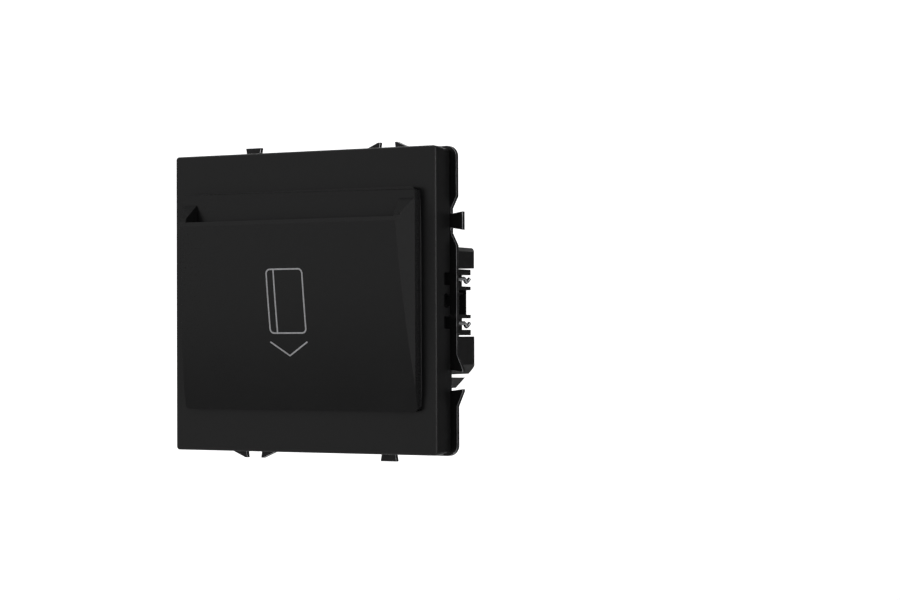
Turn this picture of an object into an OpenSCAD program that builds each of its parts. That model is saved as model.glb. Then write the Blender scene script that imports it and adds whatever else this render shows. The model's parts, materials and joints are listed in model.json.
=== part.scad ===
// Hotel key card switch: a flush wall switch worked by a card in a pocket.
// X runs right as seen from the front, Y runs into the wall and Z runs up.
// The origin is the centre of the wall face, the rear face of the steel frame.

/* [Face plate] */
// Width and height of the square face plate
plate_w = 71; // [69:0.5:76]
// Depth of the plate from its front to the edge of its skirt
plate_depth = 7.4; // [7:0.1:8.6]
// Thickness of the plate's front and skirt
plate_wall = 2; // [1.6:0.1:2.3]
// How far the front band of the skirt stands proud of the rest
plate_step = 0.25; // [0.1:0.05:0.4]
// Depth of that front band
plate_band = 3.9; // [3.4:0.1:4.4]
// Radius of the plate's corners
plate_corner_r = 0.8; // [0.3:0.1:1.5]
// Gap between the skirt and the steel frame
plate_gap = 0.8; // [0.4:0.1:1.4]
// Diameter of the round catch recess in each side of the skirt
catch_d = 3.5; // [2.5:0.1:4.5]
// Depth of the catch recesses
catch_depth = 1.2; // [0.8:0.1:1.4]
// Nearest edge of the catch notches to the middle of the side
notch_in = 3.6; // [3:0.1:4.2]
// Furthest edge of the catch notches from the middle of the side
notch_out = 6.5; // [5.5:0.1:8]

/* [Card pocket] */
// Width of the pocket at its base
pocket_w = 63; // [61:0.5:65]
// Height of the pocket
pocket_h = 51.5; // [49:0.5:53]
// Distance from the plate's top to the pocket's top
pocket_margin = 9.5; // [8.5:0.5:11]
// Height of the pocket's base above the plate
base_out = 2.8; // [2.2:0.1:3.2]
// How far the lip stands out from the plate
lip_out = 8; // [7.6:0.1:9]
// Distance from the pocket's top down to the lip's outer edge
lip_drop = 7.9; // [7:0.1:9]
// Depth of the sloping top of the lip
lip_land = 1.3; // [1:0.1:1.6]
// How far the front panel stands out at its bottom edge
toe_out = 1.7; // [1:0.1:2.2]
// Outward bow of the front panel between lip and toe
front_bow = 0.62; // [0.4:0.02:0.9]
// Thickness of the front panel
front_wall = 1.1; // [0.9:0.05:1.3]
// Distance from the pocket's top to where the cheeks begin to slope out
cheek_drop = 2.6; // [2:0.1:3.4]
// How far each cheek leans in from the base to the lip
cheek_draft = 2.3; // [1.5:0.1:2.6]
// Slope of the cheeks' top edges
cheek_slope = 41; // [36:1:45]
// Radius of the pocket's corners
pocket_corner_r = 1; // [0.4:0.1:2]
// Width of an ID-1 card
card_w = 54; // [52:0.5:55]
// Free play of the card on each side
card_play = 0.6; // [0.4:0.1:0.9]
// How far the slot's ends widen from base to lip
slot_flare = 0.8; // [0.3:0.1:1]
// Thickness of the card well inside the pocket
well_gap = 4.9; // [4.4:0.1:5.2]
// Thickness of the well's back wall
back_wall = 1.2; // [0.9:0.1:1.4]
// Height of the pocket's floor
floor_t = 1.6; // [1.2:0.1:2.4]
// Width of the pocket's shoulder on the plate
pocket_land = 1; // [0.8:0.1:1.3]

/* [Steel frame] */
// Width of the steel frame
frame_w = 73.2; // [72:0.2:78]
// Height of the steel frame
frame_h = 72; // [71:0.2:77]
// Thickness of the frame's sheet
frame_t = 1.2; // [1:0.1:1.5]
// Depth of the coined seat that locates the housing
seat_depth = 0.25; // [0.15:0.05:0.4]
// Radius of the frame's corners
frame_corner_r = 2.5; // [1:0.5:4]
// Distance between the two box screws
fixing_span = 60; // [59:0.5:61]
// Diameter of the box screw holes
fixing_d = 4; // [3.4:0.1:4.4]
// Distance of the dovetails from the middle of each side
dovetail_at = 18.5; // [14:0.5:22]
// How far the dovetails stand out of the frame
dovetail_out = 1.6; // [1:0.1:2]

/* [Housing] */
// Width of the housing
housing_w = 51; // [50:0.5:52]
// Height of the housing
housing_h = 52.8; // [52:0.2:54]
// Width of the housing's flat top between its corner chamfers
housing_flat = 30; // [29:0.2:31]
// Wall of the front housing
housing_wall = 1.6; // [1.4:0.1:1.9]
// Depth of the front housing
front_depth = 12.4; // [12:0.1:13.2]
// Depth of the upper step of the rear cover
step_depth = 18; // [17.6:0.1:18.8]
// Distance from the housing's top down to the step's lower level
step_drop = 11.9; // [11.5:0.1:12.5]
// Overall depth behind the wall face
total_depth = 29.9; // [29.4:0.1:31.4]
// Wall of the rear cover
cover_wall = 1.4; // [1.2:0.1:1.6]
// Width of the seam between front housing and rear cover
seam_w = 0.3; // [0.2:0.05:0.5]
// How far the rear cover's sides stand proud of the front housing
cover_out = 1; // [0.8:0.1:1.2]
// Radius of the rear cover's upright rear corners
cover_round = 1.8; // [1:0.1:2.4]
// Length of the vents in the rear cover
vent_len = 10.6; // [6:0.2:12]

/* [Claws] */
// Distance of the claw screws from the side of the housing
claw_in = 6; // [5.8:0.1:6.2]
// Height of each claw arm
arm_h = 16.1; // [15.7:0.1:16.5]
// Diameter of the claw wire
wire_d = 1; // [0.8:0.05:1.1]
// Distance between the legs of the claw wire
leg_span = 10; // [9.8:0.1:10.4]
// Thread diameter of the claw screws
screw_d = 3; // [2.6:0.1:3.2]
// Length of the claw screws under the head
screw_len = 22.2; // [20:0.2:23]
// Diameter of the claw screws' heads
screw_head_d = 6; // [5.6:0.1:6.6]
// Diameter of the saddle under the screw head
saddle_d = 7.4; // [7:0.1:7.8]

/* [Lever and switch] */
// Steel left between the frame's window and the holes for the claw driver
window_land = 1.7; // [1.5:0.1:2.4]
// Height of the frame's window
window_h = 44; // [42:0.5:46]
// Height of the lever's pivot above the middle
pivot_z = 13; // [12:0.5:14]
// Diameter of the lever's pin
pin_d = 2; // [1.6:0.1:2.4]
// Thickness of the card lever
lever_t = 1.8; // [1.6:0.1:2]
// Width of the card lever
lever_w = 13; // [11:0.5:14]
// Width of the lever's nose in the card well
nose_w = 8; // [6:0.5:9]
// Height of the microswitch's plunger above the middle
plunger_z = 1; // [0:0.5:2]
// Thickness of the circuit board
board_t = 1.6; // [1.2:0.1:2]

/* [Terminals] */
// Distance between terminals
terminal_pitch = 9; // [8.8:0.1:9.6]
// Width of a terminal cage
cage_w = 6.4; // [6:0.1:6.6]
// Diameter of the terminal screws
terminal_screw_d = 2.5; // [2.2:0.1:2.8]
// Diameter of the wire entries
entry_d = 2.8; // [2.2:0.1:2.8]

/* [Hidden] */
$fn = 48;

// Colours of the real materials
CHARCOAL = [0.15, 0.15, 0.155];
BLACK = [0.1, 0.1, 0.105];
BLACK_STEEL = [0.08, 0.08, 0.085];
ZINC = [0.78, 0.78, 0.8];
YELLOW_ZINC = [0.72, 0.6, 0.28];
TIN = [0.7, 0.68, 0.62];
GREEN = [0.1, 0.35, 0.2];

// Clearances
seat_gap = 0.1;
slide_gap = 0.3;
run_gap = 0.05;
eps = 0.01;
far = 100;

// Depths (Y), from the plate's front to the back
plate_y = -(frame_t + plate_gap + plate_depth);
skirt_y = -(frame_t + plate_gap);
inner_y = plate_y + plate_wall;
base_y = plate_y - base_out;
lip_y = plate_y - lip_out;
frame_y = -frame_t;
seat_y = -seat_depth;

// Pocket levels (Z)
pocket_top = plate_w / 2 - pocket_margin;
pocket_bottom = pocket_top - pocket_h;
pocket_mid = (pocket_top + pocket_bottom) / 2;
lip_z = pocket_top - lip_drop;
floor_z = pocket_bottom + floor_t;
back_top = lip_z + 0.3;
cheek_z = pocket_top - cheek_drop;
slot_w = card_w + 2 * card_play;

// The front panel is an arc from the lip's outer edge to the toe
lip_at = [lip_y, lip_z];
toe_at = [plate_y - toe_out, pocket_bottom];
chord = norm(toe_at - lip_at);
chord_dir = (toe_at - lip_at) / chord;
front_r = (chord * chord / 4 + front_bow * front_bow) / (2 * front_bow);
front_centre = (lip_at + toe_at) / 2 + [-chord_dir.y, chord_dir.x] * (front_r - front_bow);
well_front_r = front_r - front_wall;
well_back_r = well_front_r - well_gap;
back_rear_r = well_back_r - back_wall;

// Pocket screws sit in the middle of the cheeks' feet
pocket_foot_x = pocket_w / 2 - pocket_land;
pocket_screw_x = (slot_w / 2 + pocket_foot_x) / 2;
pocket_screw_d = 1.6;
pocket_screw_len = 3.4;
pocket_screw_tip = 0.5;
pocket_screw_head_d = 3.2;
pocket_screw_head_t = 1.1;
pocket_screw_low = 14;
pocket_screw_high = 6;
pocket_screw_zs = [floor_z + pocket_screw_low, pocket_top - pocket_screw_high];
back_flange_t = 1.2;
back_flange_x = pocket_foot_x + 1;

// Housing levels
housing_chamfer = (housing_w - housing_flat) / 2;
step_z = housing_h / 2 - step_drop;
claw_x = housing_w / 2 - claw_in;
driver_d = screw_head_d - 1.6;
window_w = 2 * (claw_x - driver_d / 2 - window_land);
arm_gap = 0.3;
arm_x0 = claw_x - 5;
arm_out = housing_w / 2 - 0.2;
arm_y = total_depth - 0.9;
notch_h = arm_h + 2 * arm_gap;
board_y = 8;
board_rear = board_y + board_t;
tongue_y = board_rear + 0.3;
tongue_t = 1.1;
boss_in_x = 5;
boss_in_z = 11.4;
boss_at = [housing_w / 2 - boss_in_x, housing_h / 2 - boss_in_z];
boss_d = 5.2;
frame_screw_d = 2.2;
frame_screw_len = 7;
frame_screw_head_d = 4.4;
frame_screw_head_t = 1.4;
frame_cross_w = 3;
frame_cross_t = 0.6;
frame_cross_depth = 0.7;
snap_y = 7.9;
snap_len = 1.9;
snap_z = -13.4;
snap_h = 3.9;
switch_w = 12.8;
switch_h = 5.8;

// Claw levels
cavity_y = 2;
cavity_h = arm_h - 3.9;
cavity_x = claw_x - saddle_d / 2 - slide_gap;
block_y = 12.2;
block_end = 25;
block_x = arm_out - 1.2;
groove_z = [3.9, 6.7];
head_y = 2.4;
head_t = 2.4;
head_rim = 0.9;
head_crown = 0.4;
head_cross_w = 4;
head_cross_t = 0.8;
head_cross_depth = 1.2;
saddle_y = head_y + head_t + run_gap;
saddle_t = 1;
saddle_tip_d = 4.8;
bar_y = 10.1;
bar_x = claw_x + screw_d / 2 + wire_d / 2 + 0.2;
leg_x = housing_w / 2 - 0.9;
pivot_y = 9.2;
nut_w = 5.5;
nut_t = 2.4;
nut_y = 17;

// Lever and switch levels
lever_y = -4.1;
lever_end = -11;
carrier_t = 1.4;
carrier_y = frame_y - carrier_t;
carrier_rim = 2.8;
ear_t = 2;
ear_gap = 0.4;
hub_d = pin_d + 2.4;
nose_z = -8;
nose_gap = 0.5;
spring_z = -7;
spring_d = 4;
spring_wire = 0.35;
spring_turns = 5;
spring_pocket = 0.9;
plunger_tip = -0.5;
plunger_w = 2.6;
plunger_h = 1.3;
switch_y = 1.5;

// Terminal levels
terminal_y = front_depth + 2.4;
cage_y0 = terminal_y - 2.1;
cage_y1 = step_depth - cover_wall - slide_gap;
cage_t = 1;
bar_t = 0.7;
collar_half = 13;
collar_t = 1.1;
collar_h = 6.6;
collar_bevel = 0.9;
entry_rise = 3.7;
bar_z = step_z + entry_rise + entry_d / 2 + 0.05;
cage_rise = 2.4;
block_foot = 0.4;
cage_top = bar_z + bar_t + 0.2 + cage_t + 0.1;
cage_bottom = bar_z - entry_d - 0.1 - cage_t;
terminal_head_z = cage_top + cage_rise + 0.2;
terminal_head = [3.4, housing_h / 2 - 0.4 - terminal_head_z];
terminal_slot_t = 0.7;
terminal_slot_depth = 0.8;

// Octagon with half sizes hx and hz and corner chamfer c
function octagon(hx, hz, c) = [[hx, hz - c], [hx - c, hz], [c - hx, hz], [-hx, hz - c],
  [-hx, c - hz], [c - hx, -hz], [hx - c, -hz], [hx, c - hz]];

// Half width of the pocket, p in front of the plate
function pocket_half(p) = pocket_w / 2 - cheek_draft * (p - base_out) / (lip_out - base_out);

// Half width of the slot, p in front of the plate
function slot_half(p) = slot_w / 2 + slot_flare * max(0, p - base_out) / (lip_out - base_out);

// Depth of a front panel layer of radius r at height z
function layer_y(r, z) = front_centre.x - sqrt(r * r - (z - front_centre.y) * (z - front_centre.y));

// Tube of diameter d swept through points with n sides; its route never runs along ref
function ring_axes(pts, i, ref) =
  let (t = pts[min(i + 1, len(pts) - 1)] - pts[max(i - 1, 0)],
       d = t / norm(t),
       u = cross(d, ref) / norm(cross(d, ref)))
  [u, cross(d, u)];
module tube(pts, d, n, ref) {
  m = len(pts);
  rings = [for (i = [0:m - 1]) let (a = ring_axes(pts, i, ref)) for (k = [0:n - 1])
    pts[i] + d / 2 * (cos(360 * k / n) * a[0] + sin(360 * k / n) * a[1])];
  walls = [for (i = [0:m - 2]) for (k = [0:n - 1]) let (k1 = (k + 1) % n)
    each [[i * n + k, i * n + k1, (i + 1) * n + k], [i * n + k1, (i + 1) * n + k1, (i + 1) * n + k]]];
  ends = [for (k = [1:n - 2]) each [[0, k + 1, k], [(m - 1) * n, (m - 1) * n + k, (m - 1) * n + k + 1]]];
  polyhedron(rings, concat(walls, ends), convexity = 6);
}

// An XZ outline from depth y0 to depth y1
module slab(y0, y1) translate([0, y1, 0]) rotate([90, 0, 0]) linear_extrude(y1 - y0) children();
// A YZ outline from x0 to x1
module bar(x0, x1) translate([x0, 0, 0]) rotate([90, 0, 90]) linear_extrude(x1 - x0) children();
// A box between two corners
module block(a, b) translate(a) cube(b - a);
// A cylinder along Y
module rod_y(x, z, d, y0, y1) translate([x, y1, z]) rotate([90, 0, 0]) cylinder(d = d, h = y1 - y0);
// A cylinder along X
module rod_x(y, z, d, x0, x1) translate([x0, y, z]) rotate([0, 90, 0]) cylinder(d = d, h = x1 - x0);
// Everything behind the front panel's arc of radius r
module behind_arc(r) translate([-far / 2, front_centre.x, front_centre.y]) rotate([0, 90, 0])
  cylinder(r = r, h = far, $fn = 720);
// A square with rounded corners
module round_square(w, h, r) {
  square([w - 2 * r, h], center = true);
  square([w, h - 2 * r], center = true);
  for (sx = [-1, 1]) for (sz = [-1, 1]) translate([sx * (w / 2 - r), sz * (h / 2 - r)]) circle(r);
}
// Cross recess of length w, cut thickness t and depth h, open towards the front
module cross_slot(w, t, h) {
  translate([-w / 2, -h, -t / 2]) cube([w, h, t]);
  translate([-t / 2, -h, -w / 2]) cube([t, h, w]);
}
module both_sides() {
  children();
  mirror([1, 0, 0]) children();
}

module face_plate() color(CHARCOAL) difference() {
  union() {
    slab(plate_y, plate_y + plate_band) round_square(plate_w, plate_w, plate_corner_r);
    slab(plate_y + plate_band - eps, skirt_y)
      round_square(plate_w - 2 * plate_step, plate_w - 2 * plate_step, plate_corner_r);
  }
  block([-skirt_in, inner_y, -skirt_in], [skirt_in, 0, skirt_in]);
  translate([0, 0, pocket_mid]) slab(plate_y - 1, inner_y + 1) square([2 * pocket_foot_x + 2 * seat_gap,
    pocket_h - 2 * pocket_land + 2 * seat_gap], center = true);
  both_sides() {
    for (s = [-1, 1])
      block([catch_x, notch_y, s * (notch_in + notch_out) / 2 - notch_w / 2],
            [plate_w, 0, s * (notch_in + notch_out) / 2 + notch_w / 2]);
    rod_x(catch_y, 0, catch_d, catch_x, plate_w);
    block([catch_x, catch_y, -catch_slot / 2], [plate_w, 0, catch_slot / 2]);
  }
}
skirt_in = plate_w / 2 - plate_step - plate_wall;
notch_y = plate_y + plate_band;
notch_w = notch_out - notch_in;
catch_y = skirt_y - catch_d / 2;
catch_x = plate_w / 2 - plate_step - catch_depth;
catch_slot = catch_d * 0.7;

// Side outline of the pocket with its cheeks; the front is cut to the arc afterwards
module pocket_outline() {
  reach = 4;
  polygon([[inner_y, pocket_bottom], [lip_y - reach, pocket_bottom], [lip_y - reach, lip_z - reach],
    [lip_y + lip_land, lip_z + lip_land],
    [lip_y + lip_land, cheek_z - (lip_out - lip_land - base_out) * tan(cheek_slope)],
    [base_y, cheek_z], [base_y, pocket_top], [inner_y, pocket_top]]);
}
// Plan outline of the pocket, narrower towards the front
module pocket_plan() polygon([[-pocket_w / 2, inner_y], [pocket_w / 2, inner_y], [pocket_w / 2, base_y],
  [pocket_half(lip_out + 1), lip_y - 1], [-pocket_half(lip_out + 1), lip_y - 1], [-pocket_w / 2, base_y]]);
// Plan outline of the card slot, wider towards the front
module slot_plan(y0) polygon([[-slot_w / 2, y0], [slot_w / 2, y0], [slot_w / 2, base_y],
  [slot_half(lip_out + 1), lip_y - 1], [-slot_half(lip_out + 1), lip_y - 1], [-slot_w / 2, base_y]]);

module card_pocket() color(CHARCOAL) difference() {
  intersection() {
    bar(-pocket_w / 2, pocket_w / 2) pocket_outline();
    behind_arc(front_r);
    translate([0, 0, pocket_bottom]) linear_extrude(pocket_h) pocket_plan();
    union() {
      translate([0, 0, pocket_mid]) slab(lip_y - 1, plate_y)
        round_square(pocket_w, pocket_h, pocket_corner_r);
      translate([0, 0, pocket_mid]) slab(plate_y - 1, inner_y)
        square([2 * pocket_foot_x, pocket_h - 2 * pocket_land], center = true);
    }
  }
  // The card well, open to the rear
  intersection() {
    behind_arc(well_front_r);
    translate([0, 0, floor_z]) linear_extrude(back_top - floor_z) slot_plan(inner_y + 1);
  }
  // The mouth above the back wall
  intersection() {
    behind_arc(well_front_r);
    translate([0, 0, back_top - eps]) linear_extrude(lip_drop) slot_plan(base_y);
  }
  // Hollow behind the band over the mouth
  block([-slot_w / 2, base_y + back_wall, back_top + back_wall],
        [slot_w / 2, inner_y + 1, pocket_top - pocket_land - back_wall]);
  for (z = pocket_screw_zs) both_sides()
    rod_y(pocket_screw_x, z, pocket_screw_d, inner_y - pocket_screw_len, inner_y + 1);
}

module pocket_back() color(BLACK) difference() {
  union() {
    // Flange that clamps the plate
    translate([0, 0, pocket_mid]) slab(inner_y, inner_y + back_flange_t)
      square([2 * back_flange_x, pocket_h], center = true);
    // Back wall inside the pocket
    difference() {
      intersection() {
        behind_arc(well_back_r);
        block([-slot_w / 2 + run_gap, lip_y, floor_z], [slot_w / 2 - run_gap, inner_y, back_top - run_gap]);
      }
      behind_arc(back_rear_r);
    }
    // Sides and floor behind the plate
    difference() {
      block([-slot_w / 2 - back_wall, inner_y, floor_z - back_wall],
            [slot_w / 2 + back_wall, skirt_y, back_top]);
      behind_arc(back_rear_r);
    }
  }
  // The well in front of the back wall
  difference() {
    block([-slot_w / 2, lip_y, floor_z], [slot_w / 2, skirt_y, back_top]);
    behind_arc(well_back_r);
  }
  // Room behind the back wall where it lies in front of the flange
  intersection() {
    behind_arc(back_rear_r);
    block([-slot_w / 2 + back_wall, lip_y, floor_z + back_wall],
          [slot_w / 2 - back_wall, 0, back_top - back_wall]);
  }
  // Window for the lever's nose
  block([-nose_w / 2 - slide_gap * 2, lip_y, lever_end - nose_room],
        [nose_w / 2 + slide_gap * 2, 0, nose_top + nose_room]);
  for (z = pocket_screw_zs) both_sides()
    rod_y(pocket_screw_x, z, pocket_screw_d + 0.4, inner_y - 1, inner_y + back_flange_t + 1);
}
nose_top = -2;
nose_room = 2;

module pocket_screws() color(ZINC) for (z = pocket_screw_zs) both_sides() {
  seat = inner_y + back_flange_t;
  tip = inner_y - pocket_screw_len + pocket_screw_tip;
  rod_y(pocket_screw_x, z, pocket_screw_d - 2 * run_gap, tip, seat + eps);
  rod_y(pocket_screw_x, z, pocket_screw_head_d, seat, seat + pocket_screw_head_t);
}

// Dovetail tab, u outwards from the frame's edge and v along it
tab_neck = 1.64;
tab_head = 2.15;
tab_notch = 1.4;
tab_root = 0.6;
tab_slope = [2.85, 5.7];
hook_in = 2.4;
hook_mouth = 1.95;
hook_foot = 6;
module tab_notches() polygon([[eps, tab_slope[1]], [-tab_notch, tab_slope[0]], [-tab_notch, -tab_slope[0]],
  [eps, -tab_slope[1]]]);
module tab() polygon([[-tab_notch - tab_root, tab_neck], [-tab_notch, tab_neck], [dovetail_out, tab_head],
  [dovetail_out, -tab_head], [-tab_notch, -tab_neck], [-tab_notch - tab_root, -tab_neck]]);
module hooks() polygon([[-tab_root, hook_foot], [0, hook_foot], [dovetail_out - 0.1, hook_mouth + 0.6],
  [dovetail_out - 0.1, -hook_mouth - 0.6], [0, -hook_foot], [-tab_root, -hook_foot]]);
module hook_mouth_cut() polygon([[dovetail_out + 1, hook_mouth - 0.15], [-dovetail_out - 0.3, hook_in],
  [-dovetail_out - 0.3, -hook_in], [dovetail_out + 1, -hook_mouth + 0.15]]);
module at_edges(v) for (a = [0:90:270]) rotate(a)
  translate([(a % 180 == 0 ? frame_w : frame_h) / 2, v]) children();

module support_frame() color(BLACK_STEEL) difference() {
  union() {
    difference() {
      slab(frame_y, 0) round_square(frame_w, frame_h, frame_corner_r);
      slab(frame_y - 1, 1) at_edges(dovetail_at) tab_notches();
    }
    slab(frame_y, 0) at_edges(dovetail_at) tab();
    slab(frame_y, 0) at_edges(-dovetail_at) hooks();
  }
  slab(frame_y - 1, 1) at_edges(-dovetail_at) hook_mouth_cut();
  slab(seat_y, 1) polygon(octagon(housing_w / 2 + slide_gap, housing_h / 2 + slide_gap, housing_chamfer));
  block([-window_w / 2, frame_y - 1, -window_h / 2], [window_w / 2, 1, window_h / 2]);
  for (s = [-1, 1]) {
    rod_y(s * fixing_span / 2, 0, fixing_d, frame_y - 1, 1);
    rod_y(0, s * fixing_span / 2, fixing_d, frame_y - 1, 1);
    rod_y(s * claw_x, 0, driver_d, frame_y - 1, 1);
    for (t = [-1, 1]) rod_y(s * boss_at.x, t * boss_at.y, frame_screw_d + 0.4, frame_y - 1, 1);
  }
}
// Spring clips stand on the frame just inside the skirt
clip_t = 0.5;
clip_z = [22, 31];
clip_foot = 5;
clip_reach = 4.2;
module plate_clips() color(ZINC) for (s = [-1, 1]) both_sides() {
  x1 = skirt_in - run_gap;
  z0 = s > 0 ? clip_z[0] : -clip_z[1];
  z1 = s > 0 ? clip_z[1] : -clip_z[0];
  bar_pts = [[x1 - clip_foot, frame_y], [x1, frame_y], [x1, frame_y - clip_reach],
    [x1 - clip_t, frame_y - clip_reach], [x1 - clip_t, frame_y - clip_t], [x1 - clip_foot, frame_y - clip_t]];
  translate([0, 0, z0]) linear_extrude(z1 - z0) polygon(bar_pts);
}

module frame_screws() color(ZINC) for (t = [-1, 1]) both_sides() {
  rod_y(boss_at.x, t * boss_at.y, frame_screw_d - 2 * run_gap, frame_y - eps, frame_screw_len);
  difference() {
    rod_y(boss_at.x, t * boss_at.y, frame_screw_head_d, frame_y - frame_screw_head_t, frame_y);
    translate([boss_at.x, frame_y - frame_screw_head_t + frame_cross_depth, t * boss_at.y])
      cross_slot(frame_cross_w, frame_cross_t, frame_screw_head_t);
  }
}

// Outline of the housing, shrunk by inset
module housing_outline(inset) polygon(octagon(housing_w / 2 - inset, housing_h / 2 - inset,
  housing_chamfer - inset * (2 - sqrt(2))));
// Outline of the wider rear cover, shrunk by inset
cover_x = housing_w / 2 + cover_out;
cover_chamfer = housing_chamfer + 0.7 * cover_out;
module cover_outline(inset) polygon(octagon(cover_x - inset, housing_h / 2 - inset,
  cover_chamfer - inset * (2 - sqrt(2))));

module claw_arm() difference() {
  block([arm_x0, seat_y, -arm_h / 2], [arm_out, arm_y, arm_h / 2]);
  // Window for the screw head and the saddle
  block([cavity_x, cavity_y, -cavity_h / 2], [far, block_y, cavity_h / 2]);
  // Grooves for the legs of the claw
  for (s = [-1, 1])
    block([leg_x - wire_d / 2 - 1.2, block_y - eps, s * groove_mid - groove_h / 2],
          [far, far, s * groove_mid + groove_h / 2]);
  // Sunk face between the grooves, with an edge beside each groove
  block([block_x, block_y - eps, -block_edge], [far, far, block_edge]);
  // Sloping edge in front of the window
  translate([0, 0, -cavity_h / 2]) linear_extrude(cavity_h)
    polygon([[arm_out - window_slope, 0], [arm_out + eps, 0], [arm_out + eps, cavity_y + eps]]);
  // Rear slot round the end of the screw, with two fins and a web across its end
  difference() {
    block([claw_x - 2.4, block_end, -block_edge], [far, far, block_edge]);
    block([claw_x - 3, block_end - 1, slot_fin - fin_t / 2], [claw_x + fin_out, far, slot_fin + fin_t / 2]);
    block([claw_x - 3, fin_y, low_fin - fin_t / 2], [claw_x + fin_out, far, low_fin + fin_t / 2]);
    block([claw_x - 3, arm_y - web_t, -arm_h], [block_x, far, arm_h]);
  }
  rod_y(claw_x, 0, screw_d + 0.3, block_y - 1, block_end + 1);
  rod_y(claw_x, 0, driver_d, seat_y - 1, cavity_y + 1);
  block([claw_x - nut_w / 2 - run_gap, nut_y - run_gap, -nut_w / 2 - run_gap],
        [claw_x + nut_w / 2 + run_gap, nut_y + nut_t + run_gap, nut_w / 2 + run_gap]);
}
groove_mid = (groove_z[0] + groove_z[1]) / 2;
groove_h = groove_z[1] - groove_z[0];
block_edge = groove_z[0] - 0.9;
slot_fin = 2.2;
low_fin = -0.4;
fin_t = 0.5;
web_t = 0.6;
fin_out = 4;
fin_y = head_y + head_t + screw_len + 1.2;
window_slope = 1.4;

module front_housing() color(BLACK) difference() {
  union() {
    difference() {
      slab(seat_y, front_depth) housing_outline(0);
      slab(housing_wall, front_depth + 1) housing_outline(housing_wall);
      both_sides() block([arm_x0 + eps, seat_y - 1, -arm_h / 2 + eps], [far, far, arm_h / 2 - eps]);
    }
    both_sides() claw_arm();
    for (t = [-1, 1]) both_sides() rod_y(boss_at.x, t * boss_at.y, boss_d, housing_wall - eps, board_y);
    rod_y(0, spring_z, spring_d - 2 * spring_wire - 0.6, seat_y - 0.9, housing_wall);
  }
  for (t = [-1, 1]) both_sides()
    rod_y(boss_at.x, t * boss_at.y, frame_screw_d, seat_y - 1, frame_screw_len + 0.4);
  both_sides()
    block([housing_w / 2 - housing_wall - 1, snap_y, snap_z], [far, snap_y + snap_len, snap_z + snap_h]);
  // Opening for the microswitch
  block([-switch_w / 2 - 0.6, seat_y - 1, plunger_z - switch_h / 2 - 0.6],
        [switch_w / 2 + 0.6, housing_wall + 1, plunger_z + switch_h / 2 + 0.6]);
}

// Side outline of the rear cover's body, shrunk by inset
bevel = 0.5;
pad_back = 2.7;
pad_drop = 1.1;
pad_slope = 0.9;
toe_len = 3;
toe_rise = 0.8;
step_round = 1;
module cover_side(inset) {
  y0 = front_depth - (inset > 0 ? 1 : 0);
  y1 = total_depth - inset;
  y2 = step_depth - inset;
  top = housing_h / 2 - inset;
  low = step_z - inset;
  pad_y = y1 - pad_back;
  polygon([[y0, -top], [y1 - toe_len, -top], [y1, -top + toe_rise], [y1, low - pad_drop - bevel],
    [y1 - bevel, low - pad_drop], [pad_y + pad_slope, low - pad_drop], [pad_y, low], [y2, low],
    [y2, top - step_round], [y2 - step_round, top], [y0, top]]);
}

module rear_cover() color(BLACK) difference() {
  union() {
    intersection() {
      bar(-far, far) cover_side(0);
      slab(front_depth, total_depth) cover_outline(0);
    }
    // Collar round the wire entries
    bar(-collar_half, collar_half) polygon([[step_depth - eps, step_z - eps],
      [step_depth + collar_t, step_z - eps], [step_depth + collar_t, step_z + collar_h - collar_bevel],
      [step_depth - eps, step_z + collar_h]]);
    // Tongue inside the front housing, with its snap hooks
    difference() {
      slab(tongue_y, front_depth + eps) housing_outline(housing_wall + seat_gap);
      slab(tongue_y - 1, front_depth + 1) housing_outline(housing_wall + seat_gap + tongue_t);
    }
    both_sides() {
      z0 = snap_z + 0.5;
      z1 = snap_z + snap_h - 0.5;
      block([tongue_x - tongue_t, snap_y + seat_gap, z0], [tongue_x, front_depth, z1]);
      block([tongue_x - eps, snap_y + seat_gap, z0], [tongue_x + 0.9, snap_y + snap_len - seat_gap, z1]);
    }
  }
  // Seam at the front housing, and the lower sides of the lower step with their sloping edges
  difference() {
    slab(front_depth - 1, front_depth + seam_w) square(far, center = true);
    slab(front_depth - 2, front_depth + 1) housing_outline(seam_depth);
  }
  both_sides() slab(step_depth, far) polygon([[pad_x, step_z], [pad_x + pad_drop, step_z - pad_drop],
    [cover_x - step_edge, step_z - pad_drop], [cover_x + 1, step_z - pad_drop - step_edge - 1],
    [cover_x + 1, step_z]]);
  // Round upright corners at the rear
  both_sides() difference() {
    block([cover_x - cover_round, total_depth - cover_round, -far / 2], [far, far, far / 2]);
    translate([cover_x - cover_round, total_depth - cover_round, -far])
      cylinder(r = cover_round, h = 2 * far);
  }
  // Notches for the claw arms
  both_sides() block([arm_x0 - arm_gap, tongue_y - 1, -notch_h / 2], [far, far, notch_h / 2]);
  // Inside, walled off from the notches
  difference() {
    intersection() {
      bar(-far, far) cover_side(cover_wall);
      union() {
        slab(front_depth - 1, front_depth + cover_wall) housing_outline(housing_wall + seat_gap + tongue_t);
        slab(front_depth + cover_wall - eps, total_depth) cover_outline(cover_wall);
      }
    }
    both_sides() {
      block([arm_x0 - arm_gap - cover_wall, 0, -notch_h / 2 - cover_wall],
            [far, far, notch_h / 2 + cover_wall]);
      block([pad_x - 0.4, step_depth - cover_wall, step_z - pad_drop - cover_wall], [far, far, far]);
    }
  }
  // Room for the terminals, through the tongue
  block([-terminal_half, tongue_y - 1, cage_bottom - 2],
        [terminal_half, step_depth - cover_wall, housing_h / 2 - cover_wall]);
  for (z = vent_zs) both_sides()
    block([housing_flat / 2, total_depth - vent_len, z - vent_h / 2], [far, far, z + vent_h / 2]);
  for (x = terminal_xs) {
    rod_y(x, bar_z - entry_d / 2 - 0.05, entry_d, cage_y1, step_depth + 1);
    translate([x, terminal_y, terminal_head_z - 1]) cylinder(d = terminal_head[0] + 2 * seat_gap, h = far);
  }
}
tongue_x = housing_w / 2 - housing_wall - seat_gap;
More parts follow.
